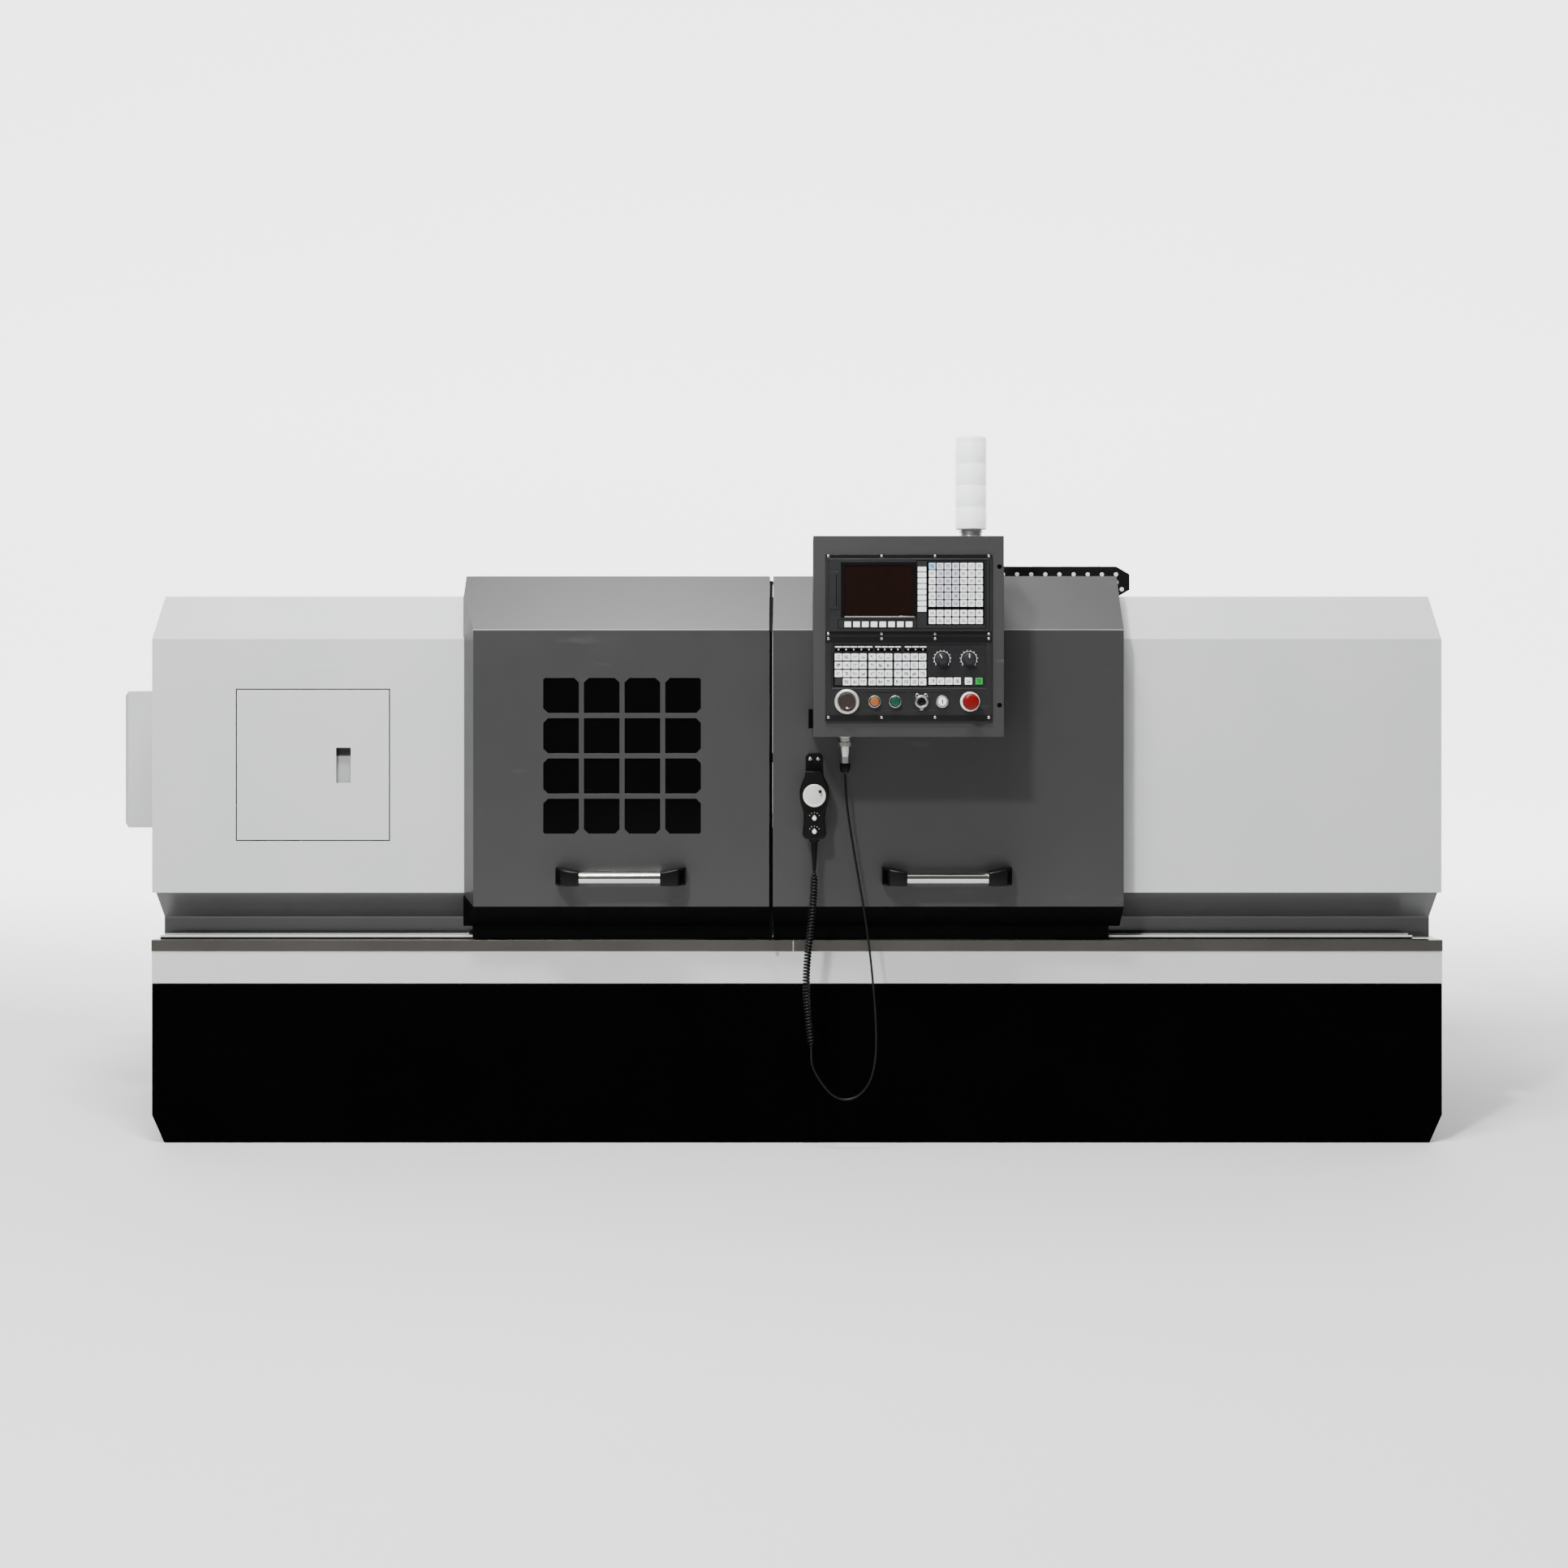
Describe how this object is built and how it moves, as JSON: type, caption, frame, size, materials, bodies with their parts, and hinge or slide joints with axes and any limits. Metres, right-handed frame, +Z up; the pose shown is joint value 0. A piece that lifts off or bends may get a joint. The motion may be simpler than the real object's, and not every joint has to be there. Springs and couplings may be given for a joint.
{
  "type": "cnc turning lathe",
  "caption": "Floor-standing CNC turning lathe with a flat bed, windowed sliding doors, a door-mounted control box, chuck, tool turret, tailstock and hand pendant.",
  "frame": {"origin": "middle of the plinth's underside, where it stands on the floor", "axes": "+X to the operator's right along the spindle axis, -Y towards the operator, +Z up"},
  "size_m": [3.546, 1.899, 1.809],
  "materials": {
    "plinth_black": "satin",
    "tray_grey": "satin",
    "stainless": "brushed",
    "housing_grey": "satin",
    "skirt_grey": "gloss",
    "door_grey": "satin",
    "tinted_glass": "gloss",
    "handle_steel": "bright",
    "cast_grey": "painted",
    "machined_steel": "machined",
    "belt_rubber": "matt",
    "motor_grey": "satin",
    "gear_parts": "matt",
    "box_grey": "satin",
    "panel_grey": "matt",
    "key_caps": "matt",
    "amber": "gloss",
    "green": "gloss",
    "red": "gloss",
    "black_plastic": "matt",
    "frosted_lens": "frosted",
    "dial_silver": "satin",
    "cord_black": "satin"
  },
  "bodies": {
    "machine": {"base_plinth": "plinth_black", "chip_tray": "tray_grey", "tray_lips": "stainless", "door_guides": "stainless", "left_housing": "housing_grey", "right_housing": "housing_grey", "housing_skirts": "skirt_grey", "gear_end_cover": "housing_grey", "rear_guard": "housing_grey", "cabinet": "housing_grey", "control_gear": "gear_parts", "bed": "cast_grey", "headstock": "cast_grey", "drive_belt": "belt_rubber", "main_motor": "motor_grey", "lead_screw_blocks": "cast_grey", "chain_lower": "black_plastic"},
    "left_door": {"left_door": "door_grey", "left_door_shoes": "black_plastic", "left_door_handle": "handle_steel", "window_pane": "tinted_glass"},
    "right_door": {"right_door": "door_grey", "right_door_shoes": "black_plastic", "right_door_handle": "handle_steel", "operator_box": "box_grey", "control_unit": "panel_grey", "machine_panel": "panel_grey", "panel_keys": "key_caps", "signal_tower": "frosted_lens", "pendant_hook": "black_plastic", "pendant_body": "black_plastic", "straight_cord": "cord_black", "curly_cord": "cord_black", "chain_upper": "black_plastic"},
    "tool_turret": {"tool_turret": "machined_steel", "turning_tools": "machined_steel"},
    "service_door": {"service_door": "housing_grey"},
    "cabinet_door": {"cabinet_door": "housing_grey"},
    "spindle": {"spindle": "machined_steel"},
    "motor_pulley": {"motor_pulley": "machined_steel"},
    "chuck_jaw_1": {"chuck_jaw_1": "machined_steel"},
    "chuck_jaw_2": {"chuck_jaw_2": "machined_steel"},
    "chuck_jaw_3": {"chuck_jaw_3": "machined_steel"},
    "carriage": {"carriage": "cast_grey"},
    "lead_screw": {"lead_screw": "machined_steel"},
    "cross_slide": {"cross_slide": "machined_steel"},
    "tailstock": {"tailstock": "cast_grey"},
    "quill": {"quill": "machined_steel"},
    "tail_wheel": {"tail_wheel": "machined_steel"},
    "start_button": {"start_button": "amber"},
    "stop_button": {"stop_button": "green"},
    "emergency_stop": {"emergency_stop": "red"},
    "key_switch": {"key_switch": "dial_silver"},
    "pulse_wheel": {"pulse_wheel": "black_plastic"},
    "feed_knob": {"feed_knob": "black_plastic"},
    "spindle_knob": {"spindle_knob": "black_plastic"},
    "pendant_dial": {"pendant_dial": "dial_silver"},
    "axis_selector": {"axis_selector": "dial_silver"},
    "step_selector": {"step_selector": "dial_silver"},
    "chain_bend": {"chain_bend": "black_plastic"}
  },
  "joints": [
    {"name": "left_door_slide", "type": "slide", "parent": "machine", "child": "left_door", "axis": [-1, 0, 0], "range_m": [0, 0.7]},
    {"name": "right_door_slide", "type": "slide", "parent": "machine", "child": "right_door", "axis": [1, 0, 0], "range_m": [0, 0.75], "deforming": ["chain_upper", "chain_lower"]},
    {"name": "service_door_hinge", "type": "hinge", "parent": "machine", "child": "service_door", "pos_m": [-1.446, -0.684, 0.9775], "axis": [0, 0, 1], "range_deg": [-100, 0]},
    {"name": "cabinet_door_hinge", "type": "hinge", "parent": "machine", "child": "cabinet_door", "pos_m": [0.832, 0.8805, 0.98], "axis": [0, 0, 1], "range_deg": [0, 110]},
    {"name": "spindle_turn", "type": "hinge", "parent": "machine", "child": "spindle", "pos_m": [-1.2, -0.06, 1], "axis": [1, 0, 0], "continuous": true},
    {"name": "jaw_1_slide", "type": "slide", "parent": "spindle", "child": "chuck_jaw_1", "axis": [0, 0, 1], "range_m": [-0.03, 0.008]},
    {"name": "jaw_2_slide", "type": "slide", "parent": "spindle", "child": "chuck_jaw_2", "axis": [0, -0.866, -0.5], "range_m": [-0.03, 0.008]},
    {"name": "jaw_3_slide", "type": "slide", "parent": "spindle", "child": "chuck_jaw_3", "axis": [0, 0.866, -0.5], "range_m": [-0.03, 0.008]},
    {"name": "motor_turn", "type": "hinge", "parent": "machine", "child": "motor_pulley", "pos_m": [-1.55, 0.395, 0.64], "axis": [1, 0, 0], "continuous": true},
    {"name": "lead_screw_turn", "type": "hinge", "parent": "machine", "child": "lead_screw", "pos_m": [0.05, -0.305, 0.64], "axis": [1, 0, 0], "range_deg": [-17283.6, 16203.6]},
    {"name": "carriage_slide", "type": "slide", "parent": "machine", "child": "carriage", "axis": [1, 0, 0], "range_m": [-0.48, 0.45]},
    {"name": "cross_slide_travel", "type": "slide", "parent": "carriage", "child": "cross_slide", "axis": [0, 1, 0], "range_m": [-0.1, 0.1]},
    {"name": "turret_turn", "type": "hinge", "parent": "cross_slide", "child": "tool_turret", "pos_m": [0.05, -0.33, 0.96], "axis": [0, 0, 1], "continuous": true},
    {"name": "tailstock_slide", "type": "slide", "parent": "machine", "child": "tailstock", "axis": [1, 0, 0], "range_m": [-0.15, 0.2]},
    {"name": "tail_wheel_turn", "type": "hinge", "parent": "tailstock", "child": "tail_wheel", "pos_m": [1.18, -0.06, 1], "axis": [1, 0, 0], "range_deg": [0, 8640]},
    {"name": "quill_slide", "type": "slide", "parent": "tailstock", "child": "quill", "axis": [-1, 0, 0], "range_m": [0, 0.1201]},
    {"name": "start_button_press", "type": "slide", "parent": "right_door", "child": "start_button", "axis": [0, 1, 0], "range_m": [0, 0.004], "stiffness_N_per_m": 300},
    {"name": "stop_button_press", "type": "slide", "parent": "right_door", "child": "stop_button", "axis": [0, 1, 0], "range_m": [0, 0.004], "stiffness_N_per_m": 300},
    {"name": "emergency_stop_press", "type": "slide", "parent": "right_door", "child": "emergency_stop", "axis": [0, 1, 0], "range_m": [0, 0.006]},
    {"name": "key_switch_turn", "type": "hinge", "parent": "right_door", "child": "key_switch", "pos_m": [0.358, -0.946, 1.145], "axis": [0, 1, 0], "range_deg": [0, 90]},
    {"name": "pulse_wheel_turn", "type": "hinge", "parent": "right_door", "child": "pulse_wheel", "pos_m": [0.123, -0.946, 1.145], "axis": [0, 1, 0], "continuous": true},
    {"name": "feed_knob_turn", "type": "hinge", "parent": "right_door", "child": "feed_knob", "pos_m": [0.358, -0.946, 1.25], "axis": [0, 1, 0], "range_deg": [-135, 135]},
    {"name": "spindle_knob_turn", "type": "hinge", "parent": "right_door", "child": "spindle_knob", "pos_m": [0.424, -0.946, 1.25], "axis": [0, 1, 0], "range_deg": [-135, 135]},
    {"name": "pendant_dial_turn", "type": "hinge", "parent": "right_door", "child": "pendant_dial", "pos_m": [0.044, -0.822, 0.906], "axis": [0, 1, 0], "continuous": true},
    {"name": "axis_selector_turn", "type": "hinge", "parent": "right_door", "child": "axis_selector", "pos_m": [0.044, -0.822, 0.849], "axis": [0, 1, 0], "range_deg": [-60, 60]},
    {"name": "step_selector_turn", "type": "hinge", "parent": "right_door", "child": "step_selector", "pos_m": [0.044, -0.822, 0.815], "axis": [0, 1, 0], "range_deg": [-60, 60]},
    {"name": "chain_bend_slide", "type": "slide", "parent": "machine", "child": "chain_bend", "axis": [1, 0, 0], "range_m": [0, 0.3751]}
  ],
  "couplings": [
    {"joint": "jaw_2_slide", "follows": "jaw_1_slide", "ratio": 1},
    {"joint": "jaw_3_slide", "follows": "jaw_1_slide", "ratio": 1},
    {"joint": "motor_turn", "follows": "spindle_turn", "ratio": 1.3529},
    {"joint": "lead_screw_turn", "follows": "carriage_slide", "rad_per_m": 628.32},
    {"joint": "quill_slide", "follows": "tail_wheel_turn", "m_per_rad": 0.00079577},
    {"joint": "chain_bend_slide", "follows": "right_door_slide", "ratio": 0.5}
  ]
}
